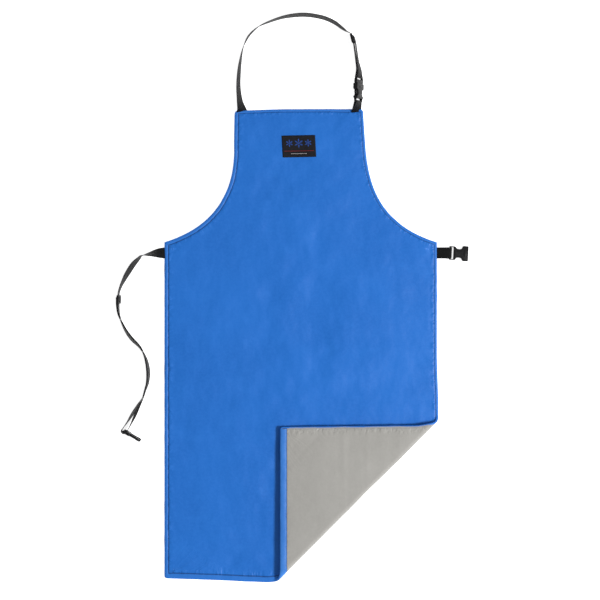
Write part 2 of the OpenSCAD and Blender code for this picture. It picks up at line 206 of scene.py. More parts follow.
class Lie:
    """Heights of the cloth's layers over flat points, in the flat cloth's own frame."""

    def __init__(self, x, y):
        d, arc, self.out = to_edge(x, y)
        u, v = (x - y) / ROOT2, (x + y) / ROOT2
        self.d, self.arc = d, arc
        self.flap = smooth(u, CREASE_U, CREASE_U + FLAP_RISE)
        calm = 1 - 0.8 * ridge(u, CREASE_U, 28 * MM)
        self.lift = self.lie_height(x, y, u, v, calm) * MM
        self.front_relief = self.front_folds(u, v, calm) * MM
        self.back_relief = self.back_folds(y, u, v) * MM * self.flap

    def lie_height(self, x, y, u, v, calm):
        """How far the cloth lies off the table, least at its edges and on the corner."""
        folds = fold(u, v, BROAD_FOLD) + fold(x, y, CROSS_FOLD) + fold(v, u, SMALL_FOLD)
        settle = 0.15 + 0.85 * (1 - np.exp(-self.d / (30 * MM)))
        rise = 2.0 * smooth(u, CREASE_U + 30 * MM, CREASE_U + 0.2) * self.flap
        return np.maximum(folds + 1.0, 0) * settle * calm * (1 - 0.55 * self.flap) + rise

    def front_folds(self, u, v, calm):
        """The front's padding, its stitched groove, and the tucks and folds beside it."""
        d, seam = self.d, stitch_inset(self.arc)
        near = np.exp(-np.maximum(d - seam, 0) / (20 * MM)) * smooth(d, 2 * MM, seam + 1 * MM)
        tuck = fold(self.arc, d, SEAM_TUCK) + fold(self.arc, d, LONG_TUCK)
        loft = LOFT * (1 - np.exp(-d / (32 * MM)))
        groove = -0.9 * ridge(d, seam, 1.5 * MM)
        band = 0.35 * ridge(d, seam / 2, 2.6 * MM)
        quilt = fold(u, v, QUILT) + fold(u, v + 0.5 * u, QUILT_CROSS)
        return loft + groove + band + tuck * near + quilt * (1 - np.exp(-d / (40 * MM))) * calm

    def back_folds(self, y, u, v):
        """The lining's own folds, which show on the turned corner, clear of the hem facing."""
        d, stitch = self.d, LINING_STITCH
        near = np.exp(-np.maximum(d - stitch, 0) / (16 * MM)) * smooth(d, 2 * MM, stitch + 2 * MM)
        crinkle = fold(self.arc, d, LINING_CRINKLE) + fold(self.arc, d, LINING_PLEAT)
        billow = fold(v, u, LINING_BILLOW) + fold(u, v, LINING_RIPPLE)
        groove = -0.5 * ridge(d, stitch, 1.1 * MM)
        folds = billow * (1 - np.exp(-d / (20 * MM))) + crinkle * near + groove + 0.5
        return folds * smooth(y + HALF_L, 15 * MM, 23 * MM)

    def front(self):
        half = CLOTH / 2
        return half + (half + self.front_relief) * edge_profile(self.d) + self.lift

    def lining(self):
        return 0.55 * MM + self.lift - self.back_relief

    def film(self):
        return self.lift + (2.9 + 1.0 * (1 - np.exp(-self.d / (25 * MM)))) * MM


def warp(x, y, lie):
    """Small moves in the cloth's plane: wandering edges, a bowed hem, a leaning and dipping bib,
    a bulging right side, and a turned corner that is drawn in."""
    wander = 0.9 * MM * wave(lie.arc, lie.arc * 0, 38 * MM, 1, 2.9)
    wander = wander * np.exp(-lie.d / (30 * MM))
    bow = np.interp(x, [-0.305, -0.2, -0.075, -0.02], [0.0045, 0.001, -0.0045, 0])
    bow = bow * smooth(-y, 0.36, HALF_L)
    dip = -0.003 * smooth(-x, 0.02, 0.14) * smooth(y, 0.45, HALF_L)
    bulge = 0.003 * smooth(x, 0.15, HALF_W) * smooth(-y, 0.02, 0.14)
    lean = -0.004 * smooth(y, 0.36, 0.52)
    drawn_in = smooth(x, 0, HALF_W) * smooth(x - y, CREASE_U * ROOT2, CREASE_U * ROOT2 + 0.05)
    drawn_in = drawn_in * np.interp(-y, [0.17, HALF_L], [-0.0055, -0.0095])
    return (x + lie.out[:, 0] * wander + lean + bulge + drawn_in,
            y + lie.out[:, 1] * wander + bow + dip)


def folded(flat):
    """Where flat cloth points (x, y, height) lie once the corner is turned over."""
    x, y, h = flat.T
    u, v = (x - y) / ROOT2, (x + y) / ROOT2
    turn = np.clip((u - BEND_U) / BEND_R, 0, math.pi)
    past = np.maximum(u - BEND_U - math.pi * BEND_R, 0)
    rho = BEND_Z - h
    across = np.where(turn > 0, BEND_U + rho * np.sin(turn) - past, u)
    z = np.where(turn > 0, BEND_Z - rho * np.cos(turn), h)
    return np.stack([(across + v) / ROOT2, (v - across) / ROOT2, z], 1)


# ---- meshes


def new_object(name, verts, faces, material, uv=None):
    mesh = bpy.data.meshes.new(name)
    mesh.from_pydata([tuple(v) for v in verts], [], [tuple(int(i) for i in f) for f in faces])
    mesh.validate()
    if uv is not None:
        layer = mesh.uv_layers.new(name="flat")
        loops = np.empty(len(mesh.loops), int)
        mesh.loops.foreach_get("vertex_index", loops)
        layer.data.foreach_set("uv", np.asarray(uv, np.float32)[loops].ravel())
    mesh.shade_smooth()
    obj = bpy.data.objects.new(name, mesh)
    scene.collection.objects.link(obj)
    mesh.materials.append(material)
    return obj


def quads(rows, n, closed=False):
    """Faces over rows of n points each. Closed joins each row's end to its start."""
    return [(k * n + i, k * n + (i + 1) % n, (k + 1) * n + (i + 1) % n, (k + 1) * n + i)
            for k in range(rows - 1) for i in range(n if closed else n - 1)]


def ring_at(d):
    return OUT + d * INWARD


def plan(rings, spacing):
    """Flat triangles that fill the outline from the first inset in: points and faces."""
    first = ring_at(rings[0])
    points = [first]
    for d in rings[1:]:
        ring = ring_at(d)
        gap, _, _ = to_edge(ring[:, 0], ring[:, 1])
        points.append(ring[gap > d - 0.15 * MM])
    rows = np.arange(-HALF_L, HALF_L, spacing * math.sqrt(3) / 2)
    grid = np.array([(x + (i % 2) * spacing / 2, y) for i, y in enumerate(rows)
                     for x in np.arange(-HALF_W, HALF_W, spacing)])
    half_width = np.interp(-grid[:, 1], -OUT[OUT[:, 0] < 0][:, 1], -OUT[OUT[:, 0] < 0][:, 0])
    grid = grid[np.abs(grid[:, 0]) < half_width - rings[-1]]
    gap, _, _ = to_edge(grid[:, 0], grid[:, 1])
    points.append(grid[gap > rings[-1] + spacing * 0.6])
    flat = np.concatenate(points)
    loop = list(range(len(first)))
    verts, _, faces, *_ = delaunay_2d_cdt([Vector(p) for p in flat], [], [loop], 1, 1e-7)
    return np.array([tuple(v) for v in verts]), [tuple(f) for f in faces]


def cut_for_bend(verts, faces):
    """The flat mesh with rows of edges along the bend: points and faces."""
    bm = bmesh.new()
    made = [bm.verts.new(v) for v in verts]
    for f in faces:
        bm.faces.new([made[i] for i in f])
    bmesh.ops.remove_doubles(bm, verts=bm.verts, dist=1e-6)
    for k in range(BEND_ROWS + 1):
        u = BEND_U + math.pi * BEND_R * k / BEND_ROWS
        near = [f for f in bm.faces
                if min(v.co.x - v.co.y for v in f.verts) < u * ROOT2
                < max(v.co.x - v.co.y for v in f.verts)]
        edges = {e for f in near for e in f.edges}
        points = {v for f in near for v in f.verts}
        bmesh.ops.bisect_plane(bm, geom=[*points, *edges, *near], dist=1e-7,
                               plane_co=(u / ROOT2, -u / ROOT2, 0), plane_no=(1, -1, 0))
    bm.verts.index_update()
    co = np.array([v.co for v in bm.verts], float)
    found = [tuple(v.index for v in f.verts) for f in bm.faces]
    bm.free()
    return co, found


BEND_ROWS = 14
REACH = {}  # each layer's least radius round the bend


def halves(name, verts, faces, material, slot, lower_nodes, upper_nodes):
    """A layer as two pieces that meet in the middle of the bend. Returns them with flat areas."""
    co, faces = cut_for_bend(verts, faces)
    u = (co[:, 0] - co[:, 1]) / ROOT2
    middle = [np.mean([u[i] for i in f]) for f in faces]
    REACH[name] = 0.97 * (BEND_Z - co[abs(u - CREASE_U) < 1e-5, 2].max())
    out = []
    for part, nodes in (("lower", lower_nodes), ("upper", upper_nodes)):
        mine = [f for f, m in zip(faces, middle) if (m < CREASE_U) == (part == "lower")]
        used = sorted({i for f in mine for i in f})
        index = {i: k for k, i in enumerate(used)}
        mine = [tuple(index[i] for i in f) for f in mine]
        flat = co[used]
        obj = new_object(f"{name}_{part}", folded(flat), mine, material, uv=flat[:, :2])
        area = sum(flat_area(flat, f) for f in mine)
        bend_across(obj, part, name)
        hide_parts(*nodes)
        out.append((obj, area))
    return out


def flat_area(flat, face):
    p = flat[list(face)]
    total = sum(np.cross(p[i] - p[0], p[i + 1] - p[0]) for i in range(1, len(p) - 1))
    return float(np.linalg.norm(total)) / 2


def bend_across(obj, part, layer):
    """Works out where half a layer meets the bend, then only bakes its placement into its mesh."""
    edge, far = BEND_U / ROOT2, (BEND_U + REACH[layer]) / ROOT2
    edge, far = Vector((edge, -edge, BEND_Z)), Vector((far, -far, BEND_Z))
    if part == "lower":
        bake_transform(obj)
    else:
        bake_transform(obj)


def joined(parts):
    verts, faces = [], []
    for v, f in parts:
        faces += [tuple(i + len(verts) for i in face) for face in f]
        verts += [Vector(p) for p in v]
    return verts, faces


def plate(points, z_from, z_to, bevel, place=None, segments=3):
    """An outline in mm given thickness and rounded edges."""
    bm = bmesh.new()
    low = [bm.verts.new((x * MM, y * MM, z_from * MM)) for x, y in points]
    high = [bm.verts.new((x * MM, y * MM, z_to * MM)) for x, y in points]
    n = len(points)
    bm.faces.new(low[::-1])
    bm.faces.new(high)
    for i in range(n):
        bm.faces.new((low[i], low[(i + 1) % n], high[(i + 1) % n], high[i]))
    bmesh.ops.recalc_face_normals(bm, faces=bm.faces)
    if bevel:
        rims = [e for e in bm.edges if abs(e.verts[0].co.z - e.verts[1].co.z) < 1e-9
                or (len(e.link_faces) == 2 and e.calc_face_angle(0) > math.radians(40))]
        bmesh.ops.bevel(bm, geom=rims, offset=bevel * MM, segments=segments, profile=0.5,
                        affect="EDGES", clamp_overlap=True)
    if place is not None:
        bm.transform(place)
    bm.verts.index_update()
    out = [v.co.copy() for v in bm.verts], [tuple(v.index for v in f.verts) for f in bm.faces]
    bm.free()
    return out


def block(x0, x1, y0, y1, z0, z1, bevel, segments=3):
    return plate([(x0, y0), (x1, y0), (x1, y1), (x0, y1)], z0, z1, bevel, segments=segments)


ACROSS = Matrix.Rotation(math.pi / 2, 4, "X")  # stands an outline up, so that it runs along y


def oval(x, rx, ry, sides):
    return [(x + rx * math.cos(a), ry * math.sin(a))
            for a in np.arange(sides) * 2 * math.pi / sides]


# ---- webbing routes

# Each point is [x, y, lift off the table, roll], in mm and degrees, as the frame has them.
# The neck strap is measured from the middle of the bib's top edge, and starts in the seam.
NECK_ROUTE = [
    [-131, -8, 0, 6], [-132, 0.5, 0, 38], [-136, 18, 0, 60], [-139, 48, 0, 70],
    [-138, 78, 0, 74], [-135, 103, 0, 80], [-130, 130, 0, 90], [-121, 154, 0, 102],
    [-111, 168.5, 0, 105], [-97, 181, 0, 101], [-80, 190, 0, 92], [-47, 202, 0, 86],
    [-20, 207.5, 0, 81], [7, 209.5, 0, 79], [32, 207, 0, 79], [55, 201.5, 0, 79],
    [76, 192, 0, 80], [92.5, 180, 0, 84], [103.5, 172, 2.4, 94], [111, 168.6, 3.6, 99],
    [113.4, 166.2, 3.6, 99], [116, 156, 3.6, 99], [118.3, 146, 3.6, 99], [120.8, 129, 3.6, 99],
    [123.8, 107, 4, 101], [127.2, 88, 4.5, 108], [127, 71, 5, 118],
]
# The waist strap is measured from the seam in the left side.
WAIST_ROUTE = [
    [9, 0, 1, 2], [-0.5, 0, 1, 10], [-14, -0.5, 1, 34], [-28, -2, 0.4, 60],
    [-49, -6, 0, 90], [-56, -12, 0, 101], [-69, -26, 0, 112], [-82, -46, 0, 111],
    [-89, -59, 0, 105], [-96.5, -75, 1.2, 97], [-101, -90, 3.4, 93], [-101.2, -104, 3.4, 93],
    [-101.4, -118, 3.4, 93], [-99.6, -137, 1.4, 89], [-93, -156, 0, 81], [-84, -174, 0, 75],
    [-71, -192, 0, 72], [-54, -209, 0, 78], [-43.5, -227, 0, 88], [-37.5, -245, 0, 96],
    [-34.5, -267, 0, 99], [-36, -290, 0, 95], [-41.5, -308, 0, 90], [-47, -326, 0, 86],
    [-56, -344, 0, 78], [-65, -363, 0, 74], [-74.5, -383, 1.8, 83], [-83.5, -400, 3, 90],
]
STEPS = 6  # rings between two points of a route
NECK_SLIDER, WAIST_SLIDER = 21, 11  # the points inside the sliders
LOOP_R, SLACK_R = 2.4 * MM, 5.2 * MM  # webbing tight and slack round a bar
TURN_RINGS = 10  # rings half way round a bar
SLIDER_GAP, LAYER_GAP = 4 * MM, 2 * MM  # between a strap and its tail


def spline(a, b, c, d, t):
    return (2 * b + (c - a) * t + (2 * a - 5 * b + 4 * c - d) * t * t
            + (3 * b - a - 3 * c + d) * t**3) / 2


def route(points, origin):
    p = np.array(points, float)
    p[:, :3] *= MM
    last = len(p) - 1
    out = [spline(p[max(i - 1, 0)], p[i], p[i + 1], p[min(i + 2, last)], k / STEPS)
           for i in range(last) for k in range(STEPS)] + [p[last]]
    return np.array(out) + np.array([*origin, 0, 0])


def frames(path):
    """Middle, along, across and through of the webbing at each ring."""
    out = []
    for i, (x, y, lift, roll) in enumerate(path):
        a, b = path[min(i + 1, len(path) - 1)], path[max(i - 1, 0)]
        t = Vector((a[0] - b[0], a[1] - b[1], 0)).normalized()
        s, c = math.sin(math.radians(roll)), math.cos(math.radians(roll))
        height = (WEB_W * abs(s) + WEB_T * abs(c)) / 2 + lift
        out.append((Vector((x, y, height)), t, Vector((-t.y * c, t.x * c, s)),
                    Vector((t.y * s, -t.x * s, c))))
    return out


def offset(frame_list, sides):
    """The same webbing moved sideways: by sides at its start, middle and end."""
    out, last = [], len(frame_list) - 1
    for i, (at, along, across, through) in enumerate(frame_list):
        s = i / last
        side = (sides[1] + (sides[0] - sides[1]) * max(0, 1 - s / 0.2)
                + (sides[2] - sides[1]) * max(0, (s - 0.75) / 0.25))
        moved = at + side * through
        low = (WEB_W * abs(across.z) + WEB_T * abs(through.z)) / 2
        out.append((Vector((moved.x, moved.y, max(moved.z, low))), along, across, through))
    return out


def round_bar(ring, side, r):
    """Rings that go on from a ring half way round a bar on side +1 or -1."""
    at, along, across, through = ring
    centre = at + side * (r + WEB_T / 2) * through
    out = []
    for k in range(1, TURN_RINGS + 1):
        a = math.pi * k / TURN_RINGS
        away = -side * math.cos(a) * through + math.sin(a) * along
        ahead = math.cos(a) * along + side * math.sin(a) * through
        out.append((centre + (r + WEB_T / 2) * away, ahead, across, -side * away))
    return out


# Half of the webbing's section, from edge to edge, in half widths and half thicknesses.
PROFILE = [(-1, 0), (-0.985, 0.62), (-0.95, 0.86), (-0.85, 1), (-0.55, 1), (-0.2, 1), (0.2, 1),
           (0.55, 1), (0.85, 1), (0.95, 0.86), (0.985, 0.62), (1, 0)]
RIPPLE = 0.12 * MM  # how far the webbing waves along its run


def webbing(name, rings, start):
    """Woven webbing through these rings, with rounded selvedges and closed ends."""
    section = PROFILE + [(a, -b) for a, b in PROFILE[-2:0:-1]]
    n, verts, uv, run = len(section), [], [], start
    for i, (at, along, across, through) in enumerate(rings):
        run += (at - rings[i - 1][0]).length if i else 0
        ripple = RIPPLE * noise.noise((run / (20 * MM), 0.3, 4.2))
        for a, b in section:
            verts.append(at + (a * WEB_W / 2) * across + (b * WEB_T / 2 + ripple) * through)
            uv.append((a * WEB_W / 2, run))
    end = (len(rings) - 1) * n
    faces = quads(len(rings), n, closed=True)
    faces += [tuple(range(n - 1, -1, -1)), tuple(range(end, end + n))]
    return new_object(name, verts, faces, WEB, uv=uv)


def strap_length(rings):
    return sum((b[0] - a[0]).length for a, b in zip(rings, rings[1:]))


def strap(name, node, rings, held, rests, body=None, bend=None, start=0.0):
    """Webbing in place of a node. It rides a body, or, when given a bend, is left where it was
    built.
    """
    obj = webbing(name, rings, start)
    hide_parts(node)
    if bend:
        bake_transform(obj)
    else:
        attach(obj, body)


# ---- materials


class Look:
    """A procedural material: colour, roughness and bump from nodes on the flat cloth's own map."""

    def __init__(self, name, roughness, sheen, specular, coords="flat"):
        self.material = bpy.data.materials.new(name)
        self.material.use_nodes = True
        self.tree = self.material.node_tree
        self.shader = self.tree.nodes["Principled BSDF"]
        self.shader.inputs["Roughness"].default_value = roughness
        self.shader.inputs["Sheen Weight"].default_value = sheen
        self.shader.inputs["Sheen Roughness"].default_value = 0.4
        self.shader.inputs["Specular IOR Level"].default_value = specular
        if coords == "flat":
            self.coords = self.node("ShaderNodeUVMap", uv_map="flat").outputs[0]
        else:
            self.coords = self.node("ShaderNodeTexCoord").outputs["Object"]

    def node(self, kind, **settings):
        made = self.tree.nodes.new(kind)
        for key, value in settings.items():
            setattr(made, key, value)
        return made

    def put(self, socket, value):
        if isinstance(value, bpy.types.NodeSocket):
            self.tree.links.new(value, socket)
        elif isinstance(value, (tuple, list)) and len(value) == 3 and socket.type == "RGBA":
            socket.default_value = (*value, 1)
        else:
            socket.default_value = value

    def math(self, operation, *values):
        made = self.node("ShaderNodeMath", operation=operation)
        for socket, value in zip(made.inputs, values):
            self.put(socket, value)
        return made.outputs[0]

    def times(self, a, b):
        return self.math("MULTIPLY", a, b)

    def axes(self):
        made = self.node("ShaderNodeSeparateXYZ")
        self.put(made.inputs[0], self.coords)
        return made.outputs[0], made.outputs[1]

    def noise(self, size, detail=3.0, rough=0.5, stretch=(1, 1)):
        """Noise from 0 to 1 with features about this many metres across."""
        place = self.node("ShaderNodeVectorMath", operation="MULTIPLY")
        self.put(place.inputs[0], self.coords)
        place.inputs[1].default_value = (*stretch, 1)
        made = self.node("ShaderNodeTexNoise")
        self.put(made.inputs["Vector"], place.outputs[0])
        made.inputs["Scale"].default_value = 1 / size
        made.inputs["Detail"].default_value = detail
        made.inputs["Roughness"].default_value = rough
        return made.outputs[0]

    def puckers(self, size, reach):
        """Short folds that run in from the seam, from 0 to 1, fading out over its insets."""
        along, share = self.attribute("arc"), self.attribute("seam")
        place = self.node("ShaderNodeCombineXYZ")
        self.put(place.inputs[0], self.math("DIVIDE", along, size))
        self.put(place.inputs[1], self.times(share, 0.35))
        made = self.node("ShaderNodeTexNoise")
        self.put(made.inputs["Vector"], place.outputs[0])
        made.inputs["Scale"].default_value = 1
        made.inputs["Detail"].default_value = 2
        fade = self.times(self.between(share, 0.8, 1.1), self.between(share, reach, 1.1))
        return self.times(self.between(made.outputs[0], 0.42, 0.66), fade)

    def attribute(self, name):
        return self.node("ShaderNodeAttribute", attribute_name=name).outputs["Fac"]

    def between(self, value, low, high, to_low=0.0, to_high=1.0):
        made = self.node("ShaderNodeMapRange", interpolation_type="SMOOTHSTEP")
        for socket, v in zip(made.inputs, (value, low, high, to_low, to_high)):
            self.put(socket, v)
        return made.outputs[0]

    def mix(self, share, a, b):
        made = self.node("ShaderNodeMix", data_type="RGBA")
        self.put(made.inputs[0], share)
        self.put(made.inputs[6], a)
        self.put(made.inputs[7], b)
        return made.outputs[2]

    def tones(self, value, low, high, dark, pale):
        """A colour that goes from dark to pale as the value goes from low to high."""
        return self.mix(self.between(value, low, high), linear(*dark), linear(*pale))

    def tint(self, under, share, strength, over):
        """The colour under, with the colour over laid on it by share times strength."""
        return self.mix(self.times(share, strength), under, over)

    def bump(self, height, distance, strength):
        made = self.node("ShaderNodeBump")
        made.inputs["Strength"].default_value = strength
        made.inputs["Distance"].default_value = distance
        self.put(made.inputs["Height"], height)
        last = self.shader.inputs["Normal"]
        if last.is_linked:
            self.put(made.inputs["Normal"], last.links[0].from_socket)
        self.put(last, made.outputs[0])

    def threads(self, period, skew=0.0):
        """A plain weave's height from 0 to 1, with this many metres between threads."""
        x, y = self.axes()
        turn = 2 * math.pi / period
        warp_wave = self.math("SINE", self.times(x, turn))
        weft = self.math("MULTIPLY_ADD", x, skew * turn, self.times(y, turn))
        weft_wave = self.math("SINE", weft)
        return self.math("MULTIPLY_ADD", self.times(warp_wave, weft_wave), 0.5, 0.5)

    def colour(self, value):
        self.put(self.shader.inputs["Base Color"], value)

    def rough(self, value):
        self.put(self.shader.inputs["Roughness"], value)


def linear(r, g, b):
    return tuple((c / 255 / 12.92) if c <= 10 else ((c / 255 + 0.055) / 1.055) ** 2.4
                 for c in (r, g, b))


def dimmed(rgb, share):
    return tuple(share * c for c in linear(*rgb))


def cloth_look(name, base, pale, deep, period, roughness, sheen, seam=None, tuck=False,
               pucker=None):
    look = Look(name, roughness, sheen, 0.3)
    colour = look.tones(look.noise(0.16), 0.25, 0.75, deep, base)
    patch = look.between(look.noise(0.05, stretch=(1, 1.6)), 0.5, 0.8)
    colour = look.tint(colour, patch, 0.3, linear(*pale))
    mottle = look.between(look.noise(0.006, 2, 0.6), 0.35, 0.65)
    colour = look.tint(colour, mottle, 0.25, linear(*pale))
    weave = look.threads(period)
    colour = look.tint(colour, look.math("SUBTRACT", 1.0, weave), 0.10, dimmed(deep, 0.55))
    if seam:  # a lighter band at the edge, and a dark line at the topstitching that is partly the thread's colour and partly painted shade of the stitched groove
        share = look.attribute("seam")
        colour = look.tint(colour, look.between(share, 0.98, 0.86), 0.65, linear(*seam))
        # the dark line: painted shade of the stitched groove, laid together with the thread's own
        # dark colour
        line = look.times(look.between(share, 0.84, 0.98), look.between(share, 1.22, 1.02))
        colour = look.tint(colour, line, 0.7, dimmed(deep, 0.22))
    if tuck:  # shade under the facing's edge
        _, across = look.axes()
        line = look.between(across, FACING_W - HALF_L, 15.6 * MM - HALF_L)
        colour = look.tint(colour, line, 0.8, (0.03, 0.035, 0.06))
    look.colour(colour)
    slub = look.noise(0.0014, 2, stretch=(1, 6))
    look.rough(look.between(slub, 0.3, 0.7, roughness - 0.07, roughness + 0.07))
    look.bump(weave, 0.00007, 0.7)
    look.bump(look.noise(0.011, 3, 0.55, (1, 1.4)), 0.0004, 0.4)
    look.bump(look.noise(0.06, 2, 0.45, (1.1, 0.8)), 0.0085, 0.42)
    if pucker:
        size, reach, depth = pucker
        look.bump(look.puckers(size, reach), depth, 0.8)
    return look.material


def web_look():
    look = Look("webbing_nylon", 0.62, 0.05, 0.15)
    x, y = look.axes()
    column, pick = 1.25 * MM, 1.7 * MM  # the weave's widths across and along
    row = look.math("MULTIPLY_ADD", look.math("FLOOR", look.math("DIVIDE", x, column)), math.pi,
                    look.times(y, 2 * math.pi / pick))
    wave_along = look.math("MULTIPLY_ADD", look.math("SINE", row), 0.5, 0.5)
    rib = look.math("ABSOLUTE", look.math("SINE", look.times(x, math.pi / column)))
    height = look.times(look.math("POWER", rib, 0.5),
                        look.math("MULTIPLY_ADD", wave_along, 0.6, 0.4))
    colour = look.tones(look.noise(0.02), 0.35, 0.7, (11, 11, 12), (18, 18, 19))
    look.colour(look.tint(colour, look.math("SUBTRACT", 1.0, height), 0.7, linear(5, 5, 6)))
    edge = look.between(look.math("ABSOLUTE", x), 11.2 * MM, 12.3 * MM)
    look.rough(look.math("MULTIPLY_ADD", edge, -0.1,
                         look.math("MULTIPLY_ADD", height, 0.12, 0.52)))
    look.bump(height, 0.00035, 0.9)
    look.bump(look.noise(0.004, 2), 0.0002, 0.4)
    return look.material


def plastic_look():
    look = Look("acetal_black", 0.42, 0.0, 0.2, coords="object")
    look.colour(look.tones(look.noise(0.012, 4, 0.6), 0.3, 0.7, (16, 16, 17), (25, 25, 26)))
    look.rough(look.between(look.noise(0.006, 4, 0.65), 0.25, 0.75, 0.34, 0.52))
    look.bump(look.noise(0.0006, 3, 0.6), 0.00005, 0.8)
    look.bump(look.noise(0.009, 2), 0.0002, 0.25)
    return look.material


def thread_look(name, rgb):
    look = Look(name, 0.55, 0.3, 0.35, coords="object")
    twist = look.noise(0.0007, 2)
    look.colour(look.mix(look.between(twist, 0.35, 0.65), dimmed(rgb, 0.6), linear(*rgb)))
    look.bump(twist, 0.0001, 0.8)
    return look.material


def label_look():
    look = Look("label_weave", 0.6, 0.05, 0.15)
    weave = look.threads(0.8 * MM, skew=1.0)
    cloud = look.between(look.noise(0.008, 3), 0.3, 0.7)
    colour = look.mix(cloud, linear(17, 17, 21), linear(26, 26, 31))
    look.colour(look.tint(colour, weave, 0.25, linear(40, 40, 47)))
    look.bump(weave, 0.00012, 0.8)
    look.rough(look.between(cloud, 0, 1, 0.55, 0.68))
    return look.material


def batt_look():
    look = Look("batt_fibre", 0.9, 0.2, 0.2)
    fibre = look.noise(0.0016, 5, 0.7, (1, 0.25))
    look.colour(look.tones(fibre, 0.3, 0.7, (214, 210, 196), (240, 238, 228)))
    look.bump(fibre, 0.0006, 0.9)
    return look.material


def film_look():
    look = Look("barrier_film", 0.3, 0.0, 0.5)
    crease = look.noise(0.012, 4, 0.7)
    look.colour(look.tones(crease, 0.3, 0.7, (196, 204, 210), (222, 227, 231)))
    look.rough(look.between(crease, 0.3, 0.7, 0.22, 0.4))
    look.bump(crease, 0.0006, 0.6)
    return look.material


def floor_look():
    look = Look("floor_paper", 0.8, 0.0, 0.1, coords="object")
    look.colour(look.mix(look.noise(0.4, 3), (0.93, 0.93, 0.93), (0.96, 0.96, 0.96)))
    look.shader.inputs["Emission Color"].default_value = (1, 1, 1, 1)
    look.shader.inputs["Emission Strength"].default_value = 0.8
    look.bump(look.noise(0.004, 3), 0.0001, 0.3)
    return look.material


SHELL = cloth_look("shell_nylon", (29, 111, 203), (41, 121, 212), (24, 104, 194), 1.1 * MM, 0.46,
                   0.06, seam=(44, 116, 204), pucker=(0.011, 2.6, 0.0012))
FACING = cloth_look("facing_nylon", (55, 122, 205), (66, 132, 212), (48, 114, 198), 1.1 * MM, 0.46,
                    0.06)
LINING = cloth_look("lining_taffeta", (163, 161, 156), (169, 167, 162), (158, 156, 151), 0.8 * MM,
                    0.62, 0.08, tuck=True, pucker=(0.012, 4.6, 0.0014))
WEB = web_look()
PLASTIC = plastic_look()
THREAD = thread_look("thread_blue", (24, 62, 140))
GREY_THREAD = thread_look("thread_grey", (128, 126, 122))
LABEL = label_look()
BATT = batt_look()
FILM = film_look()

# ---- cloth pieces


def lay(flat):
    """The lie of the cloth over these points, and the points after the small moves."""
    x, y = flat.T
    lie = Lie(x, y)
    return lie, np.stack(warp(x, y, lie), 1)


def laid(flat, height):
    """Cloth points at the height that this rule gives from their lie."""
    lie, moved = lay(flat)
    return np.column_stack([moved, height(lie)])


def ring_strip(levels):
    """Quads between insets of the outline, each at its own height rule: points and faces."""
    verts = [laid(ring_at(d), height) for d, height in levels]
    return np.concatenate(verts), [f[::-1] for f in quads(len(levels), len(OUT), closed=True)]


def shell_mesh():
    """The shell: its front, and the edge turned under to the back."""
    rings = [d * MM for d in (0, 0.25, 0.8, 1.7, 3, 4.5, 6, 7.3, 8.4, 9.4, 10.6, 12.2, 13.6, 15.5,
                              18.5, 22)]
    flat, faces = plan(rings, 6 * MM)
    front, half = laid(flat, Lie.front), CLOTH / 2
    back, back_faces = ring_strip([
        (0, lambda l: half + l.lift),
        (0.4 * MM, lambda l: 0.45 * half + l.lift),
        (1.3 * MM, lambda l: 0.55 * MM + l.lift),
        (3.0 * MM, lambda l: 0.40 * MM + l.lift - 0.5 * MM * l.flap),
        (3.5 * MM, lambda l: 0.62 * MM + l.lift - 0.3 * MM * l.flap),
    ])
    n = len(front)
    return np.concatenate([front, back]), faces + [tuple(i + n for i in f) for f in back_faces]


def layer_mesh(rings, spacing, height):
    """One thin layer at this height rule: points and faces."""
    flat, faces = plan(rings, spacing)
    return laid(flat, height), faces


def batt_mesh():
    """The batt, closed round its edge."""
    flat, faces = plan([1.6 * MM], 14 * MM)
    top = laid(flat, lambda l: l.film() - 0.3 * MM)
    low = laid(flat, lambda l: l.lift + 1.3 * MM)
    n, rim = len(top), len(OUT)
    sides = [(i, (i + 1) % rim, (i + 1) % rim + n, i + n) for i in range(rim)]
    below = [tuple(i + n for i in f[::-1]) for f in faces]
    return np.concatenate([top, low]), faces + below + sides


def facing_mesh():
    """The strip on the back of the hem, from its bottom edge to its turned-in top edge."""
    hem = OUT[OUT[:, 1] < -HALF_L + 8 * MM]
    hem = hem[np.argsort(hem[:, 0])]
    x = np.arange(-HALF_W + 1.2 * MM, HALF_W - 1.1 * MM, 4 * MM)
    edge = np.interp(x, hem[:, 0], hem[:, 1])
    # Each row is its way up from the hem and its height, in mm.
    rows = [(0.35, 2.1), (0.6, 1.3), (1.2, 0.6), (2.6, 0.22), (5, 0.1), (8, 0.08), (11, 0.12),
            (12.9, 0.2), (13.6, 0.42), (14.3, 0.26), (15.1, 0.3), (15.3, 0.5), (14.7, 0.75)]
    verts = []
    for t, h in rows:
        lie, moved = lay(np.stack([x, edge + t * MM], 1))
        puff = 0.7 * math.sin(math.pi * min(t * MM / HEM_STITCH, 1))
        crinkle = 0.45 * wave(x, x * 0 + t * MM, 13 * MM, 22 * MM, 12.3) * (t > 2)
        height = np.maximum(h - (puff + crinkle + 0.25) * lie.flap, h - 1.6) * MM
        verts.append(np.column_stack([moved, height + lie.lift]))
    return np.concatenate(verts), quads(len(rows), len(x))


def mark_seams(objs, inset):
    """Stores each point's share of the way in to the topstitching, and its place along it."""
    for obj in objs:
        uv = obj.data.uv_layers["flat"].data
        flat = np.zeros((len(obj.data.vertices), 2))
        for loop, point in zip(obj.data.loops, uv):
            flat[loop.vertex_index] = point.uv
        before = 2 * flat - lay(flat)[1]
        d, arc, _ = to_edge(before[:, 0], before[:, 1])
        for name, value in (("seam", d / inset(arc)), ("arc", np.minimum(arc, ARC[-1] - arc))):
            layer = obj.data.attributes.new(name, "FLOAT", "POINT")
            layer.data.foreach_set("value", value.astype(np.float32))


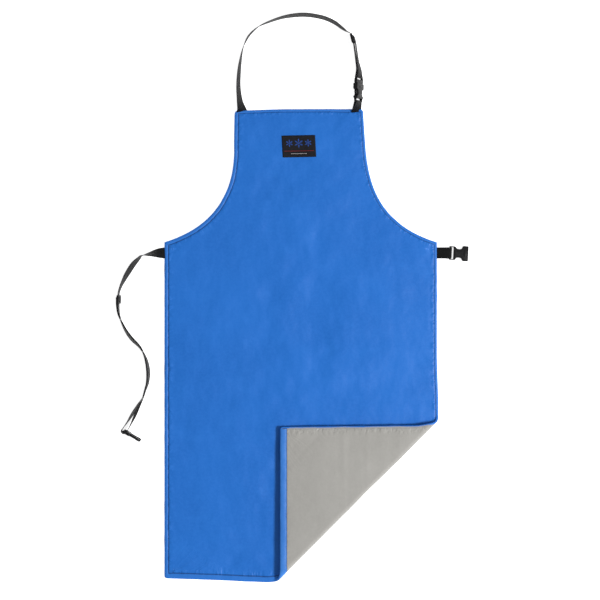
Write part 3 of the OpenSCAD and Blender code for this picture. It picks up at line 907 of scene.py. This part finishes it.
shell = halves("outer_shell_cloth", *shell_mesh(), SHELL, "shell_cloth",
               ["outer_shell", "bend_shell"], ["corner_shell"])
mark_seams([obj for obj, _ in shell], stitch_inset)
lining_rings = [d * MM for d in (1.9, 2.7, 3.6, 4.6, 5.5, 6.4, 8, 11, 15, 20)]
lining = halves("lining_cloth", *layer_mesh(lining_rings, 7 * MM, Lie.lining), LINING,
                "lining_cloth", ["lining", "bend_lining"], ["corner_lining"])
mark_seams([obj for obj, _ in lining], lambda arc: LINING_STITCH + 0 * arc)
film = halves("barrier_film", *layer_mesh([1.5 * MM], 14 * MM, Lie.film), FILM,
              "barrier_film", ["moisture_barrier", "bend_barrier"], ["corner_barrier"])
batt = halves("insulation_batt", *batt_mesh(), BATT, "insulation",
              ["insulation_core", "bend_core"], ["corner_core"])
facing = halves("hem_facing_cloth", *facing_mesh(), FACING, "shell_cloth",
                ["hem_facing", "bend_hem_facing"], ["corner_hem_facing"])

# ---- topstitching

PITCH = 3.3 * MM
STITCH_HALF = 1.2 * MM
THREAD_R = 0.26 * MM
THREAD_WIDE = 1.25 * THREAD_R


def walk(points, closed=False):
    """Places for stitches along a line, with the direction there."""
    p = np.asarray(points)
    if closed:
        p = np.concatenate([p, p[:1]])
    run = np.concatenate([[0], np.cumsum(np.linalg.norm(np.diff(p, axis=0), axis=1))])
    at = np.arange(PITCH / 2, run[-1], PITCH)
    here = np.stack([np.interp(at, run, p[:, i]) for i in (0, 1)], 1)
    ahead = np.stack([np.interp(at + 1e-4, run, p[:, i]) for i in (0, 1)], 1)
    step = ahead - here
    return here, step / np.maximum(np.linalg.norm(step, axis=1), 1e-9)[:, None]


def stitch_points(here, tangent, surface, outward):
    """Capsules of thread on the cloth, in flat coordinates: points (stitch, point, 3) and faces."""
    lie, moved = lay(here)
    height = surface(lie)
    normal = np.stack([-tangent[:, 1], tangent[:, 0]], 1)
    sides, rings = 6, [(-1, 0.25, -0.16), (-0.6, 1, 0.1), (0.6, 1, 0.1), (1, 0.25, -0.16)]
    cols = []
    for a, r, rise in rings:
        for k in range(sides):
            phi = 2 * math.pi * k / sides
            flat = moved + tangent * a * STITCH_HALF + normal * r * THREAD_WIDE * math.cos(phi)
            h = height + outward * (rise * MM + r * THREAD_R * math.sin(phi))
            cols.append(np.column_stack([flat, h]))
    end = (len(rings) - 1) * sides
    faces = quads(len(rings), sides, closed=True)
    faces += [tuple(range(sides))[::-1], tuple(range(end, end + sides))]
    return np.stack(cols, 1), faces


def sew(name, places, surface, outward, material, layer):
    """A row of topstitching as two pieces, before and after the middle of the bend."""
    stitches, base = stitch_points(*places, surface, outward)
    centre = stitches.mean(1)
    upper = (centre[:, 0] - centre[:, 1]) / ROOT2 > CREASE_U
    for part, mine in (("lower", stitches[~upper]), ("upper", stitches[upper])):
        if not len(mine):
            continue
        n = mine.shape[1]
        faces = [tuple(i + n * k for i in f) for k in range(len(mine)) for f in base]
        obj = new_object(f"{name}_{part}", folded(mine.reshape(-1, 3)), faces, material)
        bend_across(obj, part, layer)


def seam_row():
    inset = stitch_inset(ARC[:-1])
    row = OUT + inset[:, None] * INWARD
    gap, _, _ = to_edge(row[:, 0], row[:, 1])
    return row[gap > inset - 0.8 * MM]


def straight(a, b):
    """Stitches along a line, from where the bend starts."""
    here, tangent = walk([a, b])
    kept = (here[:, 0] - here[:, 1]) / ROOT2 > BEND_U
    return here[kept], tangent[kept]


side_x, hem_y = HALF_W - LINING_STITCH, HEM_STITCH - HALF_L
sew("topstitch_front", walk(seam_row(), closed=True), Lie.front, 1, THREAD,
    "outer_shell_cloth")
sew("topstitch_side_back", straight((side_x, FACING_W - HALF_L), (side_x, 0)), Lie.lining, -1,
    GREY_THREAD, "lining_cloth")
sew("topstitch_hem_back", straight((-0.2, hem_y), (HALF_W - 3 * MM, hem_y)),
    lambda l: (0.42 - 0.1 * l.flap) * MM + l.lift, -1, THREAD, "hem_facing_cloth")

# ---- label

label_low, label_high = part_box("label")
label_mid = (label_low + label_high) / 2
label_w, label_h = (label_high - label_low)[:2]
SHELL_PIECE = "outer_shell_cloth_lower"
LABEL_TILT = math.radians(1)
LABEL_T = label_high.z - label_low.z


def on_label(points, rise):
    """Points in the label's own plane, raised this far off the apron's front."""
    p = np.asarray(points, float)
    c, s = math.cos(LABEL_TILT), math.sin(LABEL_TILT)
    x = label_mid.x + c * p[:, 0] - s * p[:, 1]
    y = label_mid.y + s * p[:, 0] + c * p[:, 1]
    return laid(np.stack([x, y], 1), lambda l: l.front() + rise)


def build_label():
    nx, ny = 38, 26
    xs, ys = np.linspace(-label_w / 2, label_w / 2, nx), np.linspace(-label_h / 2, label_h / 2, ny)
    grid = np.array([(x, y) for y in ys for x in xs])
    inside = np.minimum(label_w / 2 - abs(grid[:, 0]), label_h / 2 - abs(grid[:, 1]))
    hemmed = 0.25 * MM * np.exp(-((inside - 1.2 * MM) / (1 * MM)) ** 2)
    rise = LABEL_T * (0.55 + 0.45 * smooth(inside, -0.1 * MM, 0.6 * MM)) + hemmed
    top = on_label(grid, rise)
    rim = ([i for i in range(nx)] + [j * nx + nx - 1 for j in range(1, ny)]
           + [(ny - 1) * nx + i for i in range(nx - 2, -1, -1)]
           + [j * nx for j in range(ny - 2, 0, -1)])
    skirt = on_label(grid[rim] * 1.002, -0.3 * MM)
    faces, n = quads(ny, nx), len(top)
    faces += [(rim[k], n + k, n + (k + 1) % len(rim), rim[(k + 1) % len(rim)])
              for k in range(len(rim))]
    faces.append(tuple(range(n + len(rim) - 1, n - 1, -1)))
    uv = np.concatenate([grid, grid[rim]])
    obj = new_object("label_cloth", np.concatenate([top, skirt]), faces, LABEL, uv=uv)
    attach(obj, "apron")
    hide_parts("label")


def satin(name, bars, rgb):
    """Embroidered bars on the label, each from a to b with a width, in mm."""
    verts, faces = [], []
    for ax, ay, bx, by, width in bars:
        a, b = np.array([ax, ay]) * MM, np.array([bx, by]) * MM
        ahead = (b - a) / np.linalg.norm(b - a)
        side = np.array([-ahead[1], ahead[0]]) * width / 2 * MM
        steps = max(2, int(np.linalg.norm(b - a) / (0.8 * MM)))
        n = len(verts)
        for k in range(steps + 1):
            at, end = a + (b - a) * k / steps, 0.75 if k in (0, steps) else 1
            for share, rise in ((-1, 0.75), (-0.6, 1.12), (0, 1.2), (0.6, 1.12), (1, 0.75)):
                verts.append((*(at + side * share * end), rise * MM))
        faces += [tuple(n + i for i in f) for f in quads(steps + 1, 5)]
    v = np.array(verts)
    obj = new_object(name, on_label(v[:, :2], v[:, 2]), faces, thread_look(name + "_thread", rgb))
    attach(obj, "apron")


def snowflake(cx, cy, reach):
    bars = []
    for k in range(6):
        a = math.radians(60 * k + 90)
        c, s = math.cos(a), math.sin(a)
        bars.append((cx + 0.6 * c, cy + 0.6 * s, cx + reach * c, cy + reach * s, 1.0))
        for share, twig in ((0.45, 0.26), (0.72, 0.2)):
            x, y = cx + reach * share * c, cy + reach * share * s
            for turn in (-50, 50):
                t = a + math.radians(turn)
                bars.append((x, y, x + reach * twig * math.cos(t), y + reach * twig * math.sin(t),
                             0.8))
    return bars


build_label()
satin("label_snowflakes", [b for x, r in ((-21, 8), (0, 10), (21, 8)) for b in snowflake(x, 7, r)],
      (38, 92, 190))
satin("label_line", [(-33, -10.5, 33, -10.5, 1.1)], (140, 26, 34))
satin("label_dots", [(x, -16.5, x + 1.7, -16.5, 1.5) for x in np.arange(-17.6, 17, 2.7)],
      (205, 205, 208))

# ---- straps

waist_seam_y = joints["waist_strap_swing"]["pos_m"][1]
neck = frames(route(NECK_ROUTE, (0, HALF_L)))
waist = frames(route(WAIST_ROUTE, (-HALF_W, waist_seam_y)))
NECK_SEAM = Vector((0, HALF_L, CLOTH / 2))
WAIST_SEAM = Vector((-HALF_W, waist_seam_y, CLOTH / 2))
ROOT_RINGS = 3 * STEPS  # rings of a strap's root piece, out from its seam
TAIL_START = 2  # rings before the slider where the tail starts


def strap_with_tail(where, swings, line, slider, seam, seam_bend, main_bend, frame_list, sides):
    """A strap in its three pieces: root, main run and doubled tail."""
    root, main = line[: ROOT_RINGS + 1], line[ROOT_RINGS:]
    strap(f"{where}_strap_root", f"{where}_strap", root, "stretched", SHELL_PIECE,
          bend=(("apron", swings), seam, seam + seam_bend))
    strap(f"{where}_strap_webbing", f"{where}_strap", main, "laid", f"{where}_strap_root",
          start=strap_length(root), **main_bend)
    tail = offset(frame_list[slider * STEPS - TAIL_START :], sides)
    strap(f"{where}_strap_tail_webbing", f"{where}_strap_tail", tail, "laid",
          f"{where}_strap_webbing", body="neck_plug" if where == "neck" else "waist_strap")


# A length either side of the neck loop's middle, handed to strap as its bend between loop and plug.
loop_side, loop_mid = Vector((0.1, 0, 0)), Vector((0, HALF_L + 0.2, 0.012))
strap_with_tail(
    "neck", "neck_loop", neck + round_bar(neck[-1], -1, LOOP_R), NECK_SLIDER, NECK_SEAM,
    Vector((0, 22 * MM, 0)),
    {"bend": (("neck_loop", "neck_plug"), loop_mid - loop_side, loop_mid + loop_side)},
    neck, [-SLIDER_GAP, -SLIDER_GAP, -(2 * LOOP_R + WEB_T)])
strap_with_tail(
    "waist", "waist_strap", waist + round_bar(waist[-1], 1, SLACK_R), WAIST_SLIDER, WAIST_SEAM,
    Vector((-20 * MM, 0, 0)), {"body": "waist_strap"}, waist,
    [SLIDER_GAP, LAYER_GAP, 2 * SLACK_R + WEB_T])


def tab_rings(keys):
    """A doubled tab: out from the seam, round a bar, and back. keys are (middle, across, gap)."""
    dense = []
    for (p, a, g), (q, b, h) in zip(keys, keys[1:]):
        for k in range(5):
            t = k / 5
            dense.append((p.lerp(q, t), a.lerp(b, t).normalized(), g + (h - g) * t))
    dense.append(keys[-1])
    out = []
    for i, (at, across, gap) in enumerate(dense):
        a, b = dense[min(i + 1, len(dense) - 1)][0], dense[max(i - 1, 0)][0]
        along = (a - b).normalized()
        through = along.cross(across).normalized()
        out.append((at, along, across, through, gap))
    last = out[-1]
    top = [(at + g * n, t, a, n) for at, t, a, n, g in out]
    turn = round_bar((last[0] + TIGHT * last[3], *last[1:4]), -1, LOOP_R)
    low = [(at - g * n, -t, a, -n) for at, t, a, n, g in out[-2::-1]]
    return top + turn + low


def rolled(degrees):
    """Across the webbing, where it runs along y and is rolled this far."""
    r = math.radians(degrees)
    return Vector((-math.cos(r), 0, math.sin(r)))


def heading(degrees):
    """A level direction, turned this far from x towards y."""
    a = math.radians(degrees)
    return Vector((math.cos(a), math.sin(a), 0))


TIGHT, FLAT = LOOP_R + WEB_T / 2, WEB_T / 2 + 0.05 * MM  # half gaps of a tab: bar and seam
BAR_X = 2.6 * MM  # from a buckle half's rear to its bar
UP, SIDEWAYS = Vector((0, 0, 1)), Vector((0, 1, 0))
BUCKLE = 61.3 * MM  # from the plug's rear to the socket's rear, mated
TAB_X = 126 * MM  # middle of the neck tab along the bib's top edge
neck_end = neck[-1]
neck_plug_bar = neck_end[0] - TIGHT * neck_end[3]
neck_socket_bar = neck_plug_bar + (BUCKLE - 2 * BAR_X) * neck_end[1]
tab_across = neck_end[2] if neck_end[2].z > 0 else -neck_end[2]
rings = tab_rings([
    (Vector((TAB_X, HALF_L - 8 * MM, 2.7 * MM)), rolled(3), FLAT),
    (Vector((TAB_X - 0.4 * MM, HALF_L + 0.5 * MM, 8.6 * MM)), rolled(40), FLAT),
    (neck_socket_bar, tab_across, TIGHT)])
strap("neck_tab_webbing", "neck_tab", rings, "stretched", SHELL_PIECE,
      bend=(("apron", "neck_loop"), NECK_SEAM, NECK_SEAM + Vector((0, 13 * MM, 0))))

socket_bar = Vector(joints["waist_socket_pivot"]["pos_m"])
socket_x = heading(-3)
socket_y = UP.cross(socket_x)
tab_seam = Vector((HALF_W, socket_bar.y, CLOTH / 2))
rings = tab_rings([
    (Vector((HALF_W - 9 * MM, socket_bar.y, 2.7 * MM)), SIDEWAYS, FLAT),
    (Vector((HALF_W + 1 * MM, socket_bar.y, 2.8 * MM)), SIDEWAYS, FLAT),
    (socket_bar, socket_y, TIGHT)])
strap("waist_tab_webbing", "waist_tab", rings, "stretched", SHELL_PIECE,
      bend=(("apron", "waist_tab"), tab_seam, tab_seam + Vector((24 * MM, 0, 0))))

# ---- moulded hardware

BAR_HALF, CHEEK_IN, CHEEK_OUT = 13.6, 13.2, 15.2


def mirrored(points):
    return points + [(x, -y) for x, y in reversed(points)]


def bar_end():
    cheek = [(0.2, 0), (0.9, 1.7), (2.6, 2.5), (6, 2.9), (10.6, 4), (10.6, -4), (6, -2.9),
             (2.6, -2.5), (0.9, -1.7)]
    parts = [plate(oval(0, 2.2, 2.2, 20), -BAR_HALF, BAR_HALF, 0,
                   Matrix.Translation((BAR_X, 0, 0)) @ ACROSS)]
    for y0, y1 in ((CHEEK_IN, CHEEK_OUT), (-CHEEK_OUT, -CHEEK_IN)):
        parts.append(plate(cheek, -y1, -y0, 0.5, ACROSS))
    return parts


def carved(body, cutters):
    """The body's points and faces after the cutters are taken from it."""
    base = new_object("carved", *body, PLASTIC)
    tools = [new_object("cutter", *cutter, PLASTIC) for cutter in cutters]
    for tool in tools:
        cut = base.modifiers.new("cut", "BOOLEAN")
        cut.operation, cut.object, cut.solver = "DIFFERENCE", tool, "EXACT"
    bpy.context.view_layer.update()
    mesh = base.evaluated_get(bpy.context.evaluated_depsgraph_get()).to_mesh()
    out = [v.co.copy() for v in mesh.vertices], [tuple(p.vertices) for p in mesh.polygons]
    for used in (base, *tools):
        bpy.data.objects.remove(used)
    return out


def socket_parts():
    half = [(10, 14.6), (11, 15.4), (13.2, 15.4), (14.6, 14), (16, 11.6), (17.6, 10.2), (20, 9.5),
            (23, 9.4), (26, 9.8), (28, 11), (29.2, 13), (30, 15.4), (31, 16.6), (33, 17),
            (41, 17), (42.6, 16.4), (43, 15.2)]
    body = plate(mirrored(half), -5.2, 5.2, 1.1, segments=4)
    chamber = block(13.5, 46, -13.6, 13.6, -3.1, 3.1, 0.5)
    mouth = block(40.8, 46, -14.4, 14.4, -3.9, 3.9, 0.4)
    extras = bar_end()
    for z in (5.0, -5.3):
        extras += [block(x, x + 0.9, -5.5, 5.5, z, z + 0.3, 0.12, 2) for x in (18, 20, 22, 24)]
        extras.append(plate(oval(35.5, 3.4, 7.5, 28), z, z + 0.3, 0.14, segments=2))
    return joined([carved(body, [chamber, mouth]), *extras])


def plug_parts():
    half = [(9.8, 14.4), (10.8, 15.6), (13, 16), (16.6, 16), (17.8, 15.2), (18.2, 13.4)]
    body = plate(mirrored(half), -3.5, 3.5, 0.9, segments=4)
    tip = [(41 + 3.5 * math.cos(a), 3.5 * math.sin(a)) for a in np.linspace(-1.57, 1.57, 9)]
    tongue = plate([(17, 3.5), *reversed(tip), (17, -3.5)], -1.7, 1.7, 0.5)
    ribs = [block(x, x + 0.9, -9, 9, z, z + 0.35, 0.15, 2) for x in (12, 14) for z in (3.3, -3.65)]
    return joined([body, tongue, *bar_end(), *ribs])


def arm_parts(side):
    outer = [(18.4, 11.4), (24, 11.2), (29, 11.4), (32, 12), (33.6, 13.2), (34.4, 14.6),
             (35.4, 15.4), (38.6, 15.5), (40.4, 14.9), (42.6, 13), (44.4, 11), (45, 9.8),
             (44.4, 8.8), (40, 8.5), (18.4, 8.5)]
    points = [(x, side * y) for x, y in outer]
    arm = plate(points if side < 0 else points[::-1], -2.7, 2.7, 0.6)
    grip = [block(x, x + 0.7, min(side * 15.2, side * 15.75), max(side * 15.2, side * 15.75),
                  -1.8, 1.8, 0.1, 1) for x in (35.6, 37, 38.4)]
    return joined([arm, *grip])


def slider_parts():
    rail = [(-10, 0), (-9.6, 1.4), (-8.6, 2.2), (-6, 2.6), (6, 2.6), (8.6, 2.2), (9.6, 1.4),
            (10, 0), (9.6, -2), (8.6, -2.9), (6, -3), (-6, -3), (-8.6, -2.9), (-9.6, -2)]
    parts = [plate(rail, y0, y0 + 2.4, 0.6, ACROSS) for y0 in (-15.6, 13.2)]
    for x in (-8.5, 8.5):
        parts.append(block(x - 1.5, x + 1.5, -14.2, 14.2, -3, -1, 0.7))
    parts.append(block(-1.5, 1.5, -14.2, 14.2, 1, 3, 0.6))
    parts += [block(-1.1, 1.1, y, y + 0.8, 2.9, 3.2, 0.12, 2) for y in np.arange(-11, 11, 2.4)]
    return joined(parts)


def frame_matrix(origin, x, y, z):
    m = Matrix((x, y, z)).transposed().to_4x4()
    m.translation = origin
    return m


def moulded(name, parts, matrix, body, node):
    verts, faces = parts
    obj = new_object(name, [matrix @ v for v in verts], faces, PLASTIC)
    bm = bmesh.new()
    bm.from_mesh(obj.data)
    bmesh.ops.recalc_face_normals(bm, faces=bm.faces)
    bm.to_mesh(obj.data)
    bm.free()
    obj.data.set_sharp_from_angle(angle=math.radians(38))
    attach(obj, body)
    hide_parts(node)


_, along, across, through = neck_end
neck_plug_place = frame_matrix(neck_plug_bar - BAR_X * along, along, -across, -through)
neck_socket_place = frame_matrix(neck_socket_bar + BAR_X * along, -along, across, -through)
plug_bar = Vector(joints["waist_plug_swivel"]["pos_m"])
plug_bar.z = waist[-1][0].z + 0.6 * MM
plug_x = heading(-31)
waist_plug_place = frame_matrix(plug_bar - BAR_X * plug_x, plug_x, UP, plug_x.cross(UP))
waist_socket_place = frame_matrix(socket_bar - BAR_X * socket_x, socket_x, socket_y, UP)

for place, where, body in ((neck_socket_place, "neck", "neck_loop"),
                           (waist_socket_place, "waist", "waist_socket")):
    moulded(f"{where}_socket_moulding", socket_parts(), place, body, f"{where}_socket")
for place, where in ((neck_plug_place, "neck"), (waist_plug_place, "waist")):
    moulded(f"{where}_plug_moulding", plug_parts(), place, f"{where}_plug", f"{where}_plug_frame")
    for side, hand in ((-1, "left"), (1, "right")):
        moulded(f"{where}_arm_{hand}_moulding", arm_parts(side), place, f"{where}_arm_{hand}",
                f"{where}_plug_arm_{hand}")
for where, ring, side in (("neck", neck[NECK_SLIDER * STEPS], -1),
                          ("waist", waist[WAIST_SLIDER * STEPS], 1)):
    at, along, across, through = ring
    moulded(f"{where}_slider_moulding", slider_parts(),
            frame_matrix(at, along, side * across, side * through), f"{where}_slider",
            f"{where}_slider")

# ---- floor, light and camera

FLOOR_HALF, FLOOR_DROP = 6, 0.6 * MM
KEY_FROM = Vector((4.0, -1.1, 4.4))  # from the part's middle to the lamp
VIEW_WIDTH = 1.344  # width of the view at the floor
VIEW_SHIFT = (0.0165, -0.0057)  # from the part's middle to the view's
middle = (cad_box[0] + cad_box[1]) / 2
corners = [(x * FLOOR_HALF, y * FLOOR_HALF) for x, y in ((-1, -1), (1, -1), (1, 1), (-1, 1))]
floor = new_object("floor", [(*c, -FLOOR_DROP) for c in corners], [(0, 1, 2, 3)], floor_look())

lamp_data = bpy.data.lights.new("key", "AREA")
lamp_data.shape, lamp_data.size, lamp_data.energy = "DISK", 1.5, 350
lamp = bpy.data.objects.new("key", lamp_data)
lamp.location = middle + KEY_FROM
lamp.rotation_euler = (-KEY_FROM).to_track_quat("-Z", "Y").to_euler()
scene.collection.objects.link(lamp)
world = bpy.data.worlds.new("studio")
world.use_nodes = True
sky = world.node_tree.nodes["Background"]
sky.inputs["Color"].default_value = (0.97, 0.98, 1, 1)
sky.inputs["Strength"].default_value = 0.38
scene.world = world
scene.view_settings.view_transform = "Standard"

camera_data = bpy.data.cameras.new("camera")
camera_data.lens = 100
camera = bpy.data.objects.new("camera", camera_data)
height = VIEW_WIDTH * camera_data.lens / camera_data.sensor_width
camera.location = (middle.x + VIEW_SHIFT[0], middle.y + VIEW_SHIFT[1], height)
scene.collection.objects.link(camera)
scene.camera = camera
